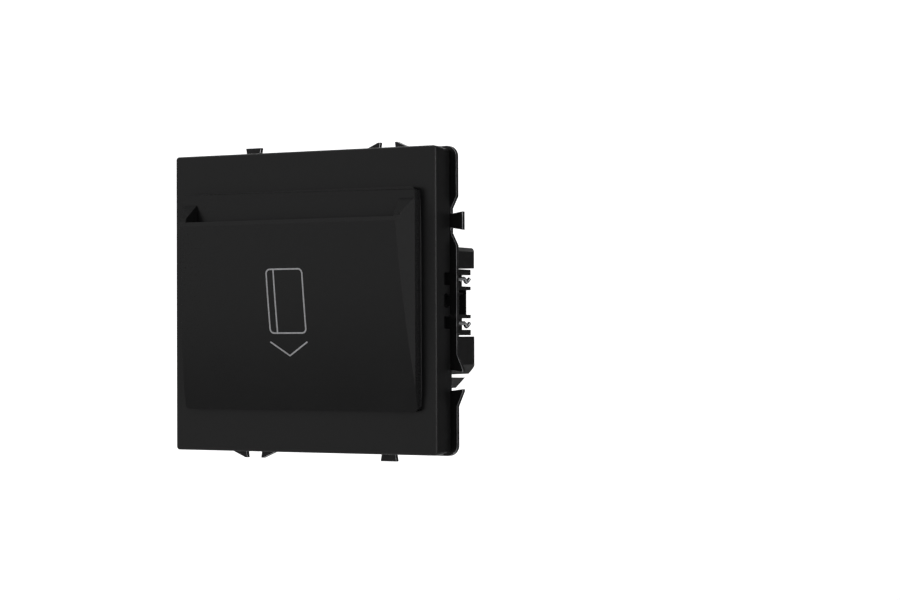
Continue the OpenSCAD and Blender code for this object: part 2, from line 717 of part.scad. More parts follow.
vent_zs = [-18, -21.5];
vent_h = 0.9;
seam_depth = 0.7;
step_edge = 1;
pad_x = cover_x - 5;
terminal_half = 1.5 * terminal_pitch + 1.4;
terminal_xs = [-terminal_pitch, 0, terminal_pitch];

module lever_carrier() color(BLACK) difference() {
  union() {
    block([-carrier_x, carrier_y, -carrier_z], [carrier_x, frame_y, carrier_z]);
    block([-window_w / 2 + seat_gap, frame_y - eps, -window_h / 2 + seat_gap],
          [window_w / 2 - seat_gap, seat_y, window_h / 2 - seat_gap]);
    both_sides() {
      rod_x(lever_y, pivot_z, hub_d, lever_w / 2 + ear_gap, lever_w / 2 + ear_gap + ear_t);
      block([lever_w / 2 + ear_gap, lever_y, pivot_z - hub_d / 2],
            [lever_w / 2 + ear_gap + ear_t, carrier_y + eps, pivot_z + hub_d / 2]);
    }
  }
  block([-lever_w / 2 - ear_gap, carrier_y - 1, lever_end - nose_room],
        [lever_w / 2 + ear_gap, 1, pivot_z + hub_d / 2 + 1]);
  rod_x(lever_y, pivot_z, pin_d + 0.04, -far, far);
}
carrier_x = window_w / 2 + 1.1;
carrier_z = window_h / 2 + 1.5;

module lever_pin() color(ZINC)
  rod_x(lever_y, pivot_z, pin_d, -lever_w / 2 - ear_gap - ear_t, lever_w / 2 + ear_gap + ear_t);

module lever_spring() {
  y0 = lever_y + lever_t / 2 - spring_pocket + spring_wire / 2 + run_gap;
  y1 = seat_y - spring_wire / 2 - run_gap;
  mean_r = (spring_d - spring_wire) / 2;
  steps = spring_turns * 12;
  color(ZINC) tube([for (i = [0:steps]) let (a = 360 * i / 12)
    [mean_r * cos(a), y0 + (y1 - y0) * i / steps, spring_z + mean_r * sin(a)]], spring_wire, 6, [0, 1, 0]);
}

// The lever's nose reaches almost across the card well
nose_y = layer_y(well_front_r, nose_z) + nose_gap;
module card_lever() color(CHARCOAL) difference() {
  union() {
    rod_x(lever_y, pivot_z, hub_d, -lever_w / 2, lever_w / 2);
    block([-lever_w / 2, lever_y - lever_t / 2, lever_end], [lever_w / 2, lever_y + lever_t / 2, pivot_z]);
    bar(-nose_w / 2, nose_w / 2) polygon([[lever_y, nose_top], [lever_y - lever_t / 2, nose_top],
      [nose_y, nose_z + 0.6], [nose_y, nose_z - 0.6],
      [lever_y - lever_t / 2, lever_end], [lever_y, lever_end]]);
    block([-2, lever_y, plunger_z - 1.5], [2, plunger_tip - 0.15, plunger_z + 1.5]);
  }
  rod_x(lever_y, pivot_z, pin_d + 0.12, -far, far);
  rod_y(0, spring_z, spring_d + 0.5, lever_y + lever_t / 2 - spring_pocket, 0);
}

module switch_case() color(BLACK) difference() {
  block([-switch_w / 2, switch_y, plunger_z - switch_h / 2],
        [switch_w / 2, board_y, plunger_z + switch_h / 2]);
  block([-plunger_w / 2 - 0.1, switch_y - 1, plunger_z - plunger_h / 2 - 0.1],
        [plunger_w / 2 + 0.1, switch_y + 4.4, plunger_z + plunger_h / 2 + 0.1]);
}
module switch_plunger() color(ZINC) block([-plunger_w / 2, plunger_tip, plunger_z - plunger_h / 2],
  [plunger_w / 2, switch_y + 2.4, plunger_z + plunger_h / 2]);
pin_pitch = 5;
switch_pin_d = 1;
module switch_pins() color(TIN) for (i = [-1:1])
  rod_y(i * pin_pitch, plunger_z, switch_pin_d, board_y, board_rear);

module circuit_board() color(GREEN) difference() {
  slab(board_y, board_rear) difference() {
    polygon(octagon(board_x, housing_h / 2 - housing_wall - 0.4, housing_chamfer - 3));
    for (s = [-1, 1]) translate([s * (arm_x0 - arm_gap + far / 2), 0]) square([far, notch_h], center = true);
  }
  for (i = [-1:1]) rod_y(i * pin_pitch, plunger_z, switch_pin_d + 0.1, board_y - 1, board_rear + 1);
}
board_x = tongue_x - tongue_t - 0.7;

// Parts on the board, laid out from the inner walls of the rear cover
part_gap = 1.2;
part_clear = 0.4;
row_gap = 2;
part_half = arm_x0 - arm_gap - cover_wall - 2 * part_clear;
part_low = housing_wall + seat_gap + tongue_t + part_clear - housing_h / 2;
relay_size = [10.4, 15, 19];
film_size = [5.5, 11, 13];
can_d = 8;
can_h = 12;
varistor_d = 7.4;
varistor_t = 3.2;
resistor_d = 3.6;
resistor_len = 9;
diode_d = 2.2;
diode_len = 4;
diode_pitch = 3.6;
diode_x = relay_size.x + film_size.x + 2 * part_gap - part_half;
part_z = part_low + relay_size.z + row_gap;
module relay() color("dodgerblue") translate([-part_half, board_rear, part_low]) cube(relay_size);
module film_capacitor() color("goldenrod")
  translate([relay_size.x + part_gap - part_half, board_rear, part_low + 1]) cube(film_size);
module smoothing_capacitor() color("dimgray")
  rod_y(can_d / 2 + 1 - part_half, part_z + can_d / 2, can_d, board_rear, board_rear + can_h);
module varistor() color("royalblue") {
  x1 = part_half - resistor_d - row_gap - part_gap;
  rod_x(board_rear + varistor_d / 2, part_z + varistor_d / 2, varistor_d, x1 - varistor_t, x1);
}
module dropper_resistor() color("tan")
  translate([part_half - resistor_d / 2 - 1, board_rear + resistor_d / 2, part_z - 1])
    cylinder(d = resistor_d, h = resistor_len);
module rectifier_diodes() color("black") for (i = [0:3]) translate([diode_x, 0, i * diode_pitch])
  rod_x(board_rear + diode_d / 2, part_low + diode_d, diode_d, 0, diode_len);

block_half = 1.5 * terminal_pitch;
comb_t = terminal_pitch - cage_w - 2 * slide_gap;
module terminal_block() color("dimgray") {
  block([-block_half, board_rear, cage_bottom - block_foot], [block_half, cage_y0 - slide_gap, bar_z - 0.2]);
  for (i = [-1.5:1.5]) block([i * terminal_pitch - comb_t / 2, board_rear, cage_bottom - block_foot],
    [i * terminal_pitch + comb_t / 2, cage_y1, cage_top - 0.4]);
}
bar_half_w = cage_w / 2 - cage_t - slide_gap;
module terminal_bars() color(TIN) for (x = terminal_xs)
  block([x - bar_half_w, board_rear, bar_z], [x + bar_half_w, cage_y1, bar_z + bar_t]);
module terminal_cage(i) color(YELLOW_ZINC) translate([terminal_xs[i], 0, 0]) difference() {
  block([-cage_w / 2, cage_y0, cage_bottom], [cage_w / 2, cage_y1, cage_top]);
  block([-cage_w / 2 + cage_t, cage_y0 - 1, cage_bottom + cage_t],
        [cage_w / 2 - cage_t, cage_y1 + 1, cage_top - cage_t]);
  translate([0, terminal_y, 0]) cylinder(d = terminal_screw_d + 2 * run_gap, h = far);
}
module terminal_screw(i) color(ZINC) translate([terminal_xs[i], terminal_y, 0]) difference() {
  union() {
    translate([0, 0, bar_z + bar_t + run_gap])
      cylinder(d = terminal_screw_d, h = terminal_head_z - bar_z - bar_t);
    translate([0, 0, terminal_head_z]) cylinder(d = terminal_head[0], h = terminal_head[1]);
  }
  slot_z = terminal_head_z + terminal_head[1] - terminal_slot_depth;
  translate([-terminal_head[0], -terminal_slot_t / 2, slot_z])
    cube([2 * terminal_head[0], terminal_slot_t, 2 * terminal_slot_depth]);
}

module claw_nuts() color(YELLOW_ZINC) both_sides() difference() {
  block([claw_x - nut_w / 2, nut_y, -nut_w / 2], [claw_x + nut_w / 2, nut_y + nut_t, nut_w / 2]);
  rod_y(claw_x, 0, screw_d + 2 * run_gap, nut_y - 1, nut_y + nut_t + 1);
}

module claw_screw() color(YELLOW_ZINC) difference() {
  union() {
    rod_y(claw_x, 0, screw_d, head_y + head_t - eps, head_y + head_t + screw_len);
    rod_y(claw_x, 0, screw_head_d, head_y + head_t - head_rim, head_y + head_t);
    rod_y(claw_x, 0, screw_head_d - 2 * head_crown, head_y, head_y + head_t - head_rim + eps);
  }
  translate([claw_x, head_y + head_cross_depth, 0]) cross_slot(head_cross_w, head_cross_t, head_t);
}

// Rim under the head with a tapered sleeve that pushes the claw's crossbar
sleeve_end = bar_y - wire_d / 2 - 0.15;
sleeve_y = saddle_y + saddle_t;
sleeve_tip = 0.6;
lens_half = 1.9;
lens_len = sleeve_end - sleeve_tip - sleeve_y;
lens_r = (lens_len * lens_len + lens_half * lens_half) / (2 * lens_half);
module claw_saddle() color(YELLOW_ZINC) difference() {
  union() {
    rod_y(claw_x, 0, saddle_d, saddle_y, sleeve_y);
    translate([claw_x, sleeve_y, 0]) rotate([-90, 0, 0])
      cylinder(d1 = saddle_d, d2 = saddle_tip_d, h = sleeve_end - sleeve_y);
  }
  rod_y(claw_x, 0, screw_d + 2 * run_gap, 0, far);
  // Pointed side opening that shows the thread
  intersection() {
    rod_x(sleeve_y, lens_half - lens_r, 2 * lens_r, claw_x, far);
    rod_x(sleeve_y, lens_r - lens_half, 2 * lens_r, claw_x, far);
    block([claw_x, sleeve_y, -lens_half], [far, sleeve_end, lens_half]);
  }
}

// Route of the claw wire: hooked end, leg, front bend, crank and crossbar, then back
wire_bend = 1.3;
bar_half = 2.6;
upper_rise = 0.8;
lower_rise = 0.1;
hook_len = 1.2;
hook_dip = 0.8;
function flip(p) = [for (i = [len(p) - 1:-1:0]) [p[i].x, p[i].y, -p[i].z]];
function leg(z, rise, dip) = let (y = total_depth - 0.7)
  [[leg_x + 0.2, y, z + rise], [leg_x, y - hook_len, z + rise - dip], [leg_x, y - 2 * hook_len, z + rise],
   [leg_x, pivot_y + 2 * wire_bend, z]];
module claw_wire() {
  z = leg_span / 2;
  knee = [for (a = [0:22.5:90]) [leg_x, pivot_y + wire_bend * (1 - sin(a)), z - wire_bend * (1 - cos(a))]];
  crank = [[leg_x, pivot_y, bar_half + 0.6], [leg_x - 0.35, pivot_y + 0.05, bar_half + 0.25],
    [leg_x - 1.3, pivot_y + 0.4, bar_half], [bar_x + 0.5, bar_y - 0.15, bar_half - 0.1],
    [bar_x + 0.1, bar_y - 0.02, bar_half - 0.35], [bar_x, bar_y, bar_half - 0.8]];
  half = concat(knee, crank);
  route = concat(leg(z, upper_rise, hook_dip), half, flip(half), flip(leg(z, lower_rise, -hook_dip)));
  color(ZINC) tube(route, wire_d, 10, [0.6, 0.48, 0.64]);
}

module terminal_cage_1() terminal_cage(0);
module terminal_cage_2() terminal_cage(1);
module terminal_cage_3() terminal_cage(2);
module terminal_screw_1() terminal_screw(0);
module terminal_screw_2() terminal_screw(1);
module terminal_screw_3() terminal_screw(2);
module claw_screw_right() claw_screw();
module claw_saddle_right() claw_saddle();
module claw_wire_right() claw_wire();
module claw_screw_left() mirror([1, 0, 0]) claw_screw();
module claw_saddle_left() mirror([1, 0, 0]) claw_saddle();
module claw_wire_left() mirror([1, 0, 0]) claw_wire();

face_plate();
card_pocket();
pocket_back();
pocket_screws();
support_frame();
plate_clips();
frame_screws();
front_housing();
rear_cover();
lever_carrier();
lever_pin();
lever_spring();
card_lever();
switch_case();
switch_plunger();
switch_pins();
circuit_board();
relay();
film_capacitor();
smoothing_capacitor();
varistor();
dropper_resistor();
rectifier_diodes();
terminal_block();
terminal_bars();
terminal_cage_1();
terminal_cage_2();
terminal_cage_3();
terminal_screw_1();
terminal_screw_2();
terminal_screw_3();
claw_nuts();
claw_screw_right();
claw_saddle_right();
claw_wire_right();
claw_screw_left();
claw_saddle_left();
claw_wire_left();
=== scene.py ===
import json
import math

import bmesh
import bpy
from mathutils import Matrix, Vector


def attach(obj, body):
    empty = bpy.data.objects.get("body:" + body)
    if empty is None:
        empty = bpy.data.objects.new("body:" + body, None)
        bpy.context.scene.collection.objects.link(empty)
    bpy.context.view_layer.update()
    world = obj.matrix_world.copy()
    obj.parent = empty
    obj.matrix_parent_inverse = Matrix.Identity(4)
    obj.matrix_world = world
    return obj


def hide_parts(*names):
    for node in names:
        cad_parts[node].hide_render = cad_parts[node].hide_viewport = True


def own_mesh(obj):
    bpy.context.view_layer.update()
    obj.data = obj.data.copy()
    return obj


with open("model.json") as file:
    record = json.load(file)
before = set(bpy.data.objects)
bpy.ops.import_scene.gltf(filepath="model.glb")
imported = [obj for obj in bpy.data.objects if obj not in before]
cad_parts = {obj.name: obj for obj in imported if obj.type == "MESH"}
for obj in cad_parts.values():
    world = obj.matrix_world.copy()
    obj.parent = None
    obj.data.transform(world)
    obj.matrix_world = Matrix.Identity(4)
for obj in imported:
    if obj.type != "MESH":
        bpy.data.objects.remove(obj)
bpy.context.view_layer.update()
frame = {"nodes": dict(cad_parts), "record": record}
NODES = frame["nodes"]
SLOT = {s["node"]: s["material_slot"] for s in frame["record"]["subparts"]}
BODY = {n: b for b, ns in frame["record"]["behaviour"]["bodies"].items() for n in ns}
MAT = {}
MM, MM_PER_M = 0.001, 1000.0


# Shader maths: one wrapped socket with operators, and one method for every other node.
# Sockets that share a name with another are picked by number.

OBJECT_COORDS = 3
MIX_FACTOR, MIX_A, MIX_B, MIX_COLOUR = 0, 6, 7, 2


class Val:
    tree = None

    def __init__(self, socket):
        self.socket = socket

    @staticmethod
    def node(kind, settings=None, inputs=None, out=0):
        n = Val.tree.nodes.new(kind)
        for k, v in (settings or {}).items():
            setattr(n, k, v)
        for k, v in (inputs or {}).items():
            if isinstance(v, Val):
                Val.tree.links.new(v.socket, n.inputs[k])
            else:
                n.inputs[k].default_value = v
        return Val(n.outputs[out])

    def op(self, name, other=None):
        pair = {0: self} if other is None else {0: self, 1: other}
        return Val.node("ShaderNodeMath", {"operation": name}, pair)

    def __add__(self, b): return self.op("ADD", b)
    def __sub__(self, b): return self.op("SUBTRACT", b)
    def __mul__(self, b): return self.op("MULTIPLY", b)
    def sin(self): return self.op("SINE")
    def size(self): return self.op("ABSOLUTE")

    def fit(self, a, b, c=0.0, d=1.0):
        """From the range a to b into the range c to d, and held inside it."""
        return Val.node("ShaderNodeMapRange", {"clamp": True}, {0: self, 1: a, 2: b, 3: c, 4: d})

    def sway(self, amount):
        """A noise value, centred on nought and scaled."""
        return (self - 0.5) * amount


def axis(at, i):
    return Val.node("ShaderNodeSeparateXYZ", None, {0: at}, i)


def stretch(at, x, y, z):
    return Val.node("ShaderNodeVectorMath", {"operation": "MULTIPLY"}, {0: at, 1: (x, y, z)})


def noise(at, size_mm, detail=3.0, rough=0.55):
    return Val.node("ShaderNodeTexNoise", None, {
        "Vector": at, "Scale": MM_PER_M / size_mm, "Detail": detail, "Roughness": rough})


def cells(at, size_mm):
    return Val.node("ShaderNodeTexVoronoi", None, {"Vector": at, "Scale": MM_PER_M / size_mm})


def mix(f, a, b):
    def rgb(c):
        return c if isinstance(c, Val) else (c[0], c[1], c[2], 1.0)
    return Val.node("ShaderNodeMix", {"data_type": "RGBA"},
                    {MIX_FACTOR: f, MIX_A: rgb(a), MIX_B: rgb(b)}, MIX_COLOUR)


def bump(height, strength, distance_mm):
    return Val.node("ShaderNodeBump", None, {
        "Strength": strength, "Distance": distance_mm * MM, "Height": height})


def begin(name):
    """Starts a material and gives the coordinates of the piece it is on."""
    MAT[name] = bpy.data.materials.new(name + "_finish")
    MAT[name].use_nodes = True
    Val.tree = MAT[name].node_tree
    return Val.node("ShaderNodeTexCoord", out=OBJECT_COORDS)


def finish(**inputs):
    """Feeds the surface's inputs, each by a value or a socket."""
    surface = Val.tree.nodes["Principled BSDF"].inputs
    for key, v in inputs.items():
        key = key.replace("_", " ")
        if isinstance(v, Val):
            Val.tree.links.new(v.socket, surface[key])
        else:
            surface[key].default_value = v


def lin(c):
    """Linear light from an sRGB colour."""
    return tuple(((v + 0.055) / 1.055) ** 2.4 if v > 0.04045 else v / 12.92 for v in c)


# Finishes

FLOW_MM, SPECK_MM, DUST = 22.0, 0.45, (0.25, 0.25, 0.25)
PIT_MM, DRAWN_MM, FINE_MM = 0.12, 0.5, 0.15
TINT_MM, FILM_MM = 3.4, 1.3
GOLD, PALE_GOLD = (0.78, 0.58, 0.20), (0.62, 0.52, 0.16)
GREEN_TINT, PINK_TINT = (0.42, 0.56, 0.22), (0.75, 0.40, 0.34)
PALE_ZINC, SCREW_TIP = (0.72, 0.73, 0.75), (0.0232, 0.0242)     # the tip in metres
PEEL_MM, RUB_MM, RUB = 0.5, 6.0, (0.10, 0.10, 0.10)
WEAVE_MM, LAND_MM = 0.4, 3.1
RESIST, TRACK, LAND = (0.07, 0.27, 0.15), (0.12, 0.38, 0.2), (0.6, 0.58, 0.52)
WEAR_MM, INK_LOW, INK_HIGH = 0.25, (0.66, 0.66, 0.67), (0.76, 0.76, 0.77)


def moulded(name, srgb, rough, grain_mm, depth, spread=0.12, gloss=0.4, dust=0.05):
    """Moulded plastic: eroded grain, slow flow marks, a trace of dust."""
    at = begin(name)
    grain = noise(at, grain_mm, detail=2.0, rough=0.6)
    pits = cells(at, grain_mm * 1.7)
    flow = noise(stretch(at, 1.0, 1.0, 0.35), FLOW_MM, detail=2.0)
    specks = noise(at, SPECK_MM, detail=1.0).fit(0.70, 0.78)
    base = lin(srgb)
    low = tuple(v * (1 - spread) for v in base)
    high = tuple(v * (1 + spread) for v in base)
    colour = mix(flow.fit(0.3, 0.7), low, high)
    finish(Base_Color=mix(specks * dust, colour, DUST),
           Roughness=flow.sway(0.10) + grain.sway(0.16) + rough,
           Normal=bump(grain * 0.7 + pits * 0.3, strength=depth, distance_mm=0.05),
           Specular_IOR_Level=gloss)


def plated(name, tint, other, rough, patch_mm=2.2, depth=0.25, line=(1, 1, 1)):
    """Plated steel: patches of two tints, fine pits and drawn lines."""
    at = begin(name)
    patch = noise(at, patch_mm)
    pits = noise(at, PIT_MM, detail=2.0)
    lines = noise(stretch(at, *line), DRAWN_MM, detail=2.0)
    finish(Base_Color=mix(patch.fit(0.35, 0.65), tint, other),
           Roughness=patch.sway(0.18) + lines.sway(0.15) + rough,
           Metallic=1.0, Normal=bump(pits * 0.5 + lines * 0.5, strength=depth, distance_mm=0.03))


def chromate(name):
    """Yellow passivated zinc: gold with green and pink tints, pale zinc towards the screw's tip."""
    at = begin(name)
    slow = noise(at, TINT_MM, detail=2.0)
    film = noise(at, FILM_MM)
    gold = mix(film.fit(0.3, 0.7), GOLD, PALE_GOLD)
    tint = mix(slow.fit(0.42, 0.58), GREEN_TINT, PINK_TINT)
    colour = mix((slow - 0.5).size().fit(0.03, 0.18) * 0.6, gold, tint)
    finish(Base_Color=mix(axis(at, 1).fit(*SCREW_TIP), colour, PALE_ZINC),
           Roughness=film.sway(0.22) + 0.27, Metallic=1.0,
           Normal=bump(noise(at, FINE_MM, detail=2.0), strength=0.2, distance_mm=0.03))


def painted(name, srgb, rough):
    """Black dip paint on sheet steel: orange peel and rubbed spots."""
    at = begin(name)
    peel = noise(at, PEEL_MM, detail=2.0)
    rub = noise(at, RUB_MM, detail=4.0, rough=0.7).fit(0.62, 0.74)
    finish(Base_Color=mix(rub * 0.35, lin(srgb), RUB),
           Roughness=peel.sway(0.15) + rub * 0.15 + rough,
           Normal=bump(peel, strength=0.18, distance_mm=0.05), Specular_IOR_Level=0.3)


def coated(name, srgb, other, rough, patch_mm=1.5):
    """Coated or moulded inner part with a second tint in patches."""
    at = begin(name)
    patch = noise(at, patch_mm)
    finish(Base_Color=mix(patch.fit(0.35, 0.7), lin(srgb), lin(other)),
           Roughness=patch.sway(0.2) + rough,
           Normal=bump(noise(at, FINE_MM, detail=2.0), strength=0.2, distance_mm=0.04))


def laminate(name):
    """Board laminate with copper tracks under green resist."""
    at = begin(name)
    x, z = axis(at, 0) * MM_PER_M, axis(at, 2) * MM_PER_M
    track = (x * 1.6 + (z * 0.45).sin() * 1.5).sin().fit(0.55, 0.65)
    land = cells(at, LAND_MM).fit(0.05, 0.12, 1.0, 0.0)
    weave = noise(stretch(at, 1.0, 1.0, 0.3), WEAVE_MM, detail=2.0)
    colour = mix(track, lin(RESIST), lin(TRACK))
    finish(Base_Color=mix(land * 0.8, colour, LAND), Roughness=weave.sway(0.2) + 0.38,
           Metallic=land * 0.7,
           Normal=bump(track + weave * 0.3, strength=0.2, distance_mm=0.04))


def printed(name):
    """Pale grey pad print, slightly broken up by the grain below it."""
    at = begin(name)
    wear = noise(at, WEAR_MM)
    finish(Base_Color=mix(wear.fit(0.35, 0.65), lin(INK_LOW), lin(INK_HIGH)),
           Roughness=wear.sway(0.2) + 0.55,
           Normal=bump(wear, strength=0.15, distance_mm=0.02))


moulded("charcoal_plastic", (0.084, 0.084, 0.086), rough=0.31, grain_mm=0.16, depth=0.06,
        gloss=0.20, dust=0.015)
# Charcoal for the eased edge strips, glossier and lighter than the faces: its lighter colour is a
# painted highlight along the edges
moulded("charcoal_edge_highlight", (0.140, 0.140, 0.142), rough=0.26, grain_mm=0.16, depth=0.05, gloss=0.5)
# Darker, duller charcoal on the floors of the plate's side notches: painted shade
moulded("charcoal_painted_shade", (0.055, 0.055, 0.056), rough=0.55, grain_mm=0.16, depth=0.06,
        gloss=0.08, dust=0.015)
moulded("black_plastic", (0.088, 0.088, 0.090), rough=0.44, grain_mm=0.22, depth=0.16,
        spread=0.16, gloss=0.2, dust=0.10)
# Near-black plastic on the catch recesses and the claw cavity's inner walls: painted shade
moulded("black_painted_shade", (0.030, 0.030, 0.031), rough=0.60, grain_mm=0.22, depth=0.16,
        spread=0.16, gloss=0.05)
painted("black_steel", (0.06, 0.06, 0.062), rough=0.42)
plated("sheared_steel", (0.62, 0.62, 0.64), (0.34, 0.34, 0.36), rough=0.34, patch_mm=1.2,
       depth=0.5, line=(1, 0.12, 1))
# Spring steel darkened nearly to black in patches: painted shade on the clips in the gap behind the
# plate, its brighter patches painted glints
plated("spring_steel", (0.26, 0.26, 0.27), (0.03, 0.03, 0.03), rough=0.32, patch_mm=1.8,
       depth=0.3, line=(1, 0.1, 1))
plated("zinc_steel", (0.80, 0.81, 0.83), (0.66, 0.67, 0.70), rough=0.24, patch_mm=1.6,
       line=(1, 0.08, 1))
plated("tinned_copper", (0.70, 0.68, 0.62), (0.60, 0.57, 0.50), rough=0.35)
chromate("yellow_zinc")
laminate("board_laminate")
coated("relay_blue", (0.05, 0.12, 0.26), (0.06, 0.14, 0.30), rough=0.32)
coated("capacitor_yellow", (0.72, 0.55, 0.16), (0.78, 0.62, 0.22), rough=0.35)
coated("capacitor_sleeve", (0.10, 0.11, 0.15), (0.14, 0.15, 0.20), rough=0.28)
coated("varistor_blue", (0.12, 0.28, 0.55), (0.16, 0.34, 0.62), rough=0.25)
coated("resistor_coat", (0.62, 0.55, 0.42), (0.68, 0.60, 0.46), rough=0.45)
coated("diode_black", (0.09, 0.09, 0.09), (0.13, 0.13, 0.13), rough=0.40)
coated("terminal_grey", (0.36, 0.36, 0.37), (0.42, 0.42, 0.43), rough=0.50)
coated("plunger_white", (0.80, 0.78, 0.74), (0.86, 0.84, 0.80), rough=0.45)
printed("card_print")


# Pieces. Lengths are in millimetres and angles in degrees; a mesh's own points are in metres.

SHARP, FLAT = 28.0, 0.4     # an edge to ease, and a fold that is really one flat face
WELD = 2e-6                 # metres between two points that are one
ROUND_STEPS, EDGE_STEPS = 4, 2
FOLD, SHALLOW_FOLD, CREASE_FOLD = (28, 120), (12, 120), (30, 60)
SIDEWAYS, PLUMB_SIDE = 0.9, 0.96    # how far a face looks to the side
QUARTER = [22.5 * k for k in range(5)]


def add(name, mesh, body, slot, *stands_for, others=()):
    o = bpy.data.objects.new(name, mesh)
    bpy.context.scene.collection.objects.link(o)
    for each in (slot, *others):
        mesh.materials.append(MAT[each])
    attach(o, body)
    if stands_for:
        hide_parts(*stands_for)
    return o


def shade(o, angle=32.0, weigh=True):
    o.data.shade_smooth()
    o.data.set_sharp_from_angle(angle=math.radians(angle))
    if weigh:
        m = o.modifiers.new("weigh", "WEIGHTED_NORMAL")
        m.keep_sharp = True


def mesh_of(name, verts, faces):
    mesh = bpy.data.meshes.new(name)
    mesh.from_pydata(verts, [], faces)
    mesh.update()
    return mesh


def clean(node, drop=None):
    """The CAD mesh of a node with its flat faces joined up again."""
    bm = bmesh.new()
    bm.from_mesh(NODES[node].data)
    bmesh.ops.remove_doubles(bm, verts=bm.verts, dist=WELD)
    if drop:
        bmesh.ops.delete(bm, geom=[v for v in bm.verts if drop(v.co)], context="VERTS")
    bmesh.ops.dissolve_limit(bm, angle_limit=math.radians(FLAT), verts=bm.verts, edges=bm.edges)
    return bm


def bent(edge, low, high=math.inf):
    return edge.is_manifold and low < math.degrees(edge.calc_face_angle(0.0)) < high


def bevel(bm, edges, width_mm, steps):
    bmesh.ops.bevel(bm, geom=edges, offset=width_mm * MM, segments=steps, profile=0.5,
                    affect="EDGES", clamp_overlap=True)


def eased(node, width_mm, rounds=(), finishes=(), drop=None):
    """A copy of a CAD node with all edges eased, and some rounded wider before that.

    rounds: (test of an edge's ends, width, range of its fold); finishes: (finish, test of a face).
    """
    bm = clean(node, drop)
    for pick, wide_mm, fold in rounds:
        bevel(bm, [e for e in bm.edges
                   if bent(e, *fold) and pick(e.verts[0].co / MM, e.verts[1].co / MM)],
              wide_mm, ROUND_STEPS)
    bevel(bm, [e for e in bm.edges if bent(e, SHARP)], width_mm, EDGE_STEPS)
    mesh = bpy.data.meshes.new(node + "_eased")
    bm.to_mesh(mesh)
    bm.free()
    o = add(node + "_eased", mesh, BODY[node], SLOT[node], node, others=[f for f, _ in finishes])
    for p in mesh.polygons:
        hits = [i + 1 for i, (_, holds) in enumerate(finishes) if holds(p.normal, p.center / MM)]
        p.material_index = hits[0] if hits else 0
    shade(o)


def smooth_route(points, each=8):
    """A curve through the points, with a number of steps between each two."""
    out = []
    p = [Vector(q) for q in points]
    p = [p[0] * 2 - p[1]] + p + [p[-1] * 2 - p[-2]]
    for i in range(1, len(p) - 2):
        a, b, c, d = p[i - 1:i + 3]
        for k in range(each):
            t = k / each
            out.append(0.5 * (2 * b + (c - a) * t + (2 * a - 5 * b + 4 * c - d) * t * t
                              + (3 * b - a - 3 * c + d) * t ** 3))
    return out + [p[-2]]


def tube_faces(rings, sides, flipped=False):
    """Faces between rings of points, with both ends closed."""
    faces = []
    for i in range(rings - 1):
        here, there = i * sides, (i + 1) * sides
        for k in range(sides):
            k1 = (k + 1) % sides
            faces.append((here + k, here + k1, there + k1, there + k))
    faces.append(tuple(range(sides - 1, -1, -1)))
    faces.append(tuple((rings - 1) * sides + k for k in range(sides)))
    return [f[:1] + f[:0:-1] for f in faces] if flipped else faces


END_EASE, END_SHARE = 0.2, 0.8      # of the wire's radius


def swept(name, points, radius_mm, sides=18):
    """A round wire along a route, its cut ends slightly eased."""
    path = [q * MM for q in smooth_route(points)]
    u = (path[1] - path[0]).normalized().orthogonal().normalized()
    rows = []
    n = len(path)
    for i, q in enumerate(path):
        t = (path[min(i + 1, n - 1)] - path[max(i - 1, 0)]).normalized()
        u = (u - t * u.dot(t)).normalized()
        rows.append((q, t, u, radius_mm * MM))
    ease = radius_mm * MM * END_EASE
    first, last = rows[0], rows[-1]
    rows.insert(0, (first[0] - first[1] * ease, first[1], first[2], first[3] * END_SHARE))
    rows.append((last[0] + last[1] * ease, last[1], last[2], last[3] * END_SHARE))
    verts = []
    for q, t, u, r in rows:
        v = t.cross(u)
        for k in range(sides):
            a = 2 * math.pi * k / sides
            verts.append(q + (u * math.cos(a) + v * math.sin(a)) * r)
    return mesh_of(name, verts, tube_faces(len(rows), sides))


THREAD_DEPTH = 0.613                # of the pitch
CREST, FLANK, TIP_SLOPE = 0.15, 0.72, 0.9


def threaded(name, x, z, y0, y1, d, pitch, sides=30, per_turn=8):
    """A threaded shank along Y with a chamfered end."""
    depth = THREAD_DEPTH * pitch
    rows = int((y1 - y0) / pitch * per_turn)
    verts = []
    for i in range(rows + 1):
        y = y0 + (y1 - y0) * i / rows
        for k in range(sides):
            a = 2 * math.pi * k / sides
            w = ((y / pitch) - k / sides) % 1.0
            h = min(1.0, max(0.0, (abs(w - 0.5) * 2 - CREST) / FLANK))
            r = min(d / 2 - depth * h, d / 2 - depth + max(0.0, y1 - y) * TIP_SLOPE)
            verts.append(((x + r * math.cos(a)) * MM, y * MM, (z + r * math.sin(a)) * MM))
    return mesh_of(name, verts, tube_faces(rows + 1, sides, flipped=True))


def within(c, xs, ys, zs):
    """Is a place in a box, on either side of the middle?"""
    return xs[0] < abs(c.x) < xs[1] and ys[0] < c.y < ys[1] and zs[0] < c.z < zs[1]


# Plate, pocket and frame
PLATE_Y, BASE_Y, POCKET_X, POCKET_TOP = -9.4, -12.2, 31.5, 26.0
RIM_R, RIM_IN, RIM_FACE_IN = 0.28, 34.0, 35.0
POCKET_SIDE_R, POCKET_TOP_R = 0.7, 0.3
NEAR, PLATE_NEAR, EDGE_BAND = 0.05, 0.02, 0.4
NOTCH = ((33.0, 35.15), (-math.inf, math.inf), (-9.0, 9.0))


def slanted(n):
    """Does a face look neither straight ahead nor straight aside?"""
    return 0.08 < abs(n.y) < 0.995


def plate_rim(a, b):
    inmost = min(max(abs(a.x), abs(a.z)), max(abs(b.x), abs(b.z)))
    return max(a.y, b.y) < PLATE_Y + PLATE_NEAR and inmost > RIM_IN


# Eased rim faces that take the painted edge highlight
def on_plate_rim(n, c):
    return c.y < PLATE_Y + RIM_R and slanted(n) and max(abs(c.x), abs(c.z)) > RIM_FACE_IN


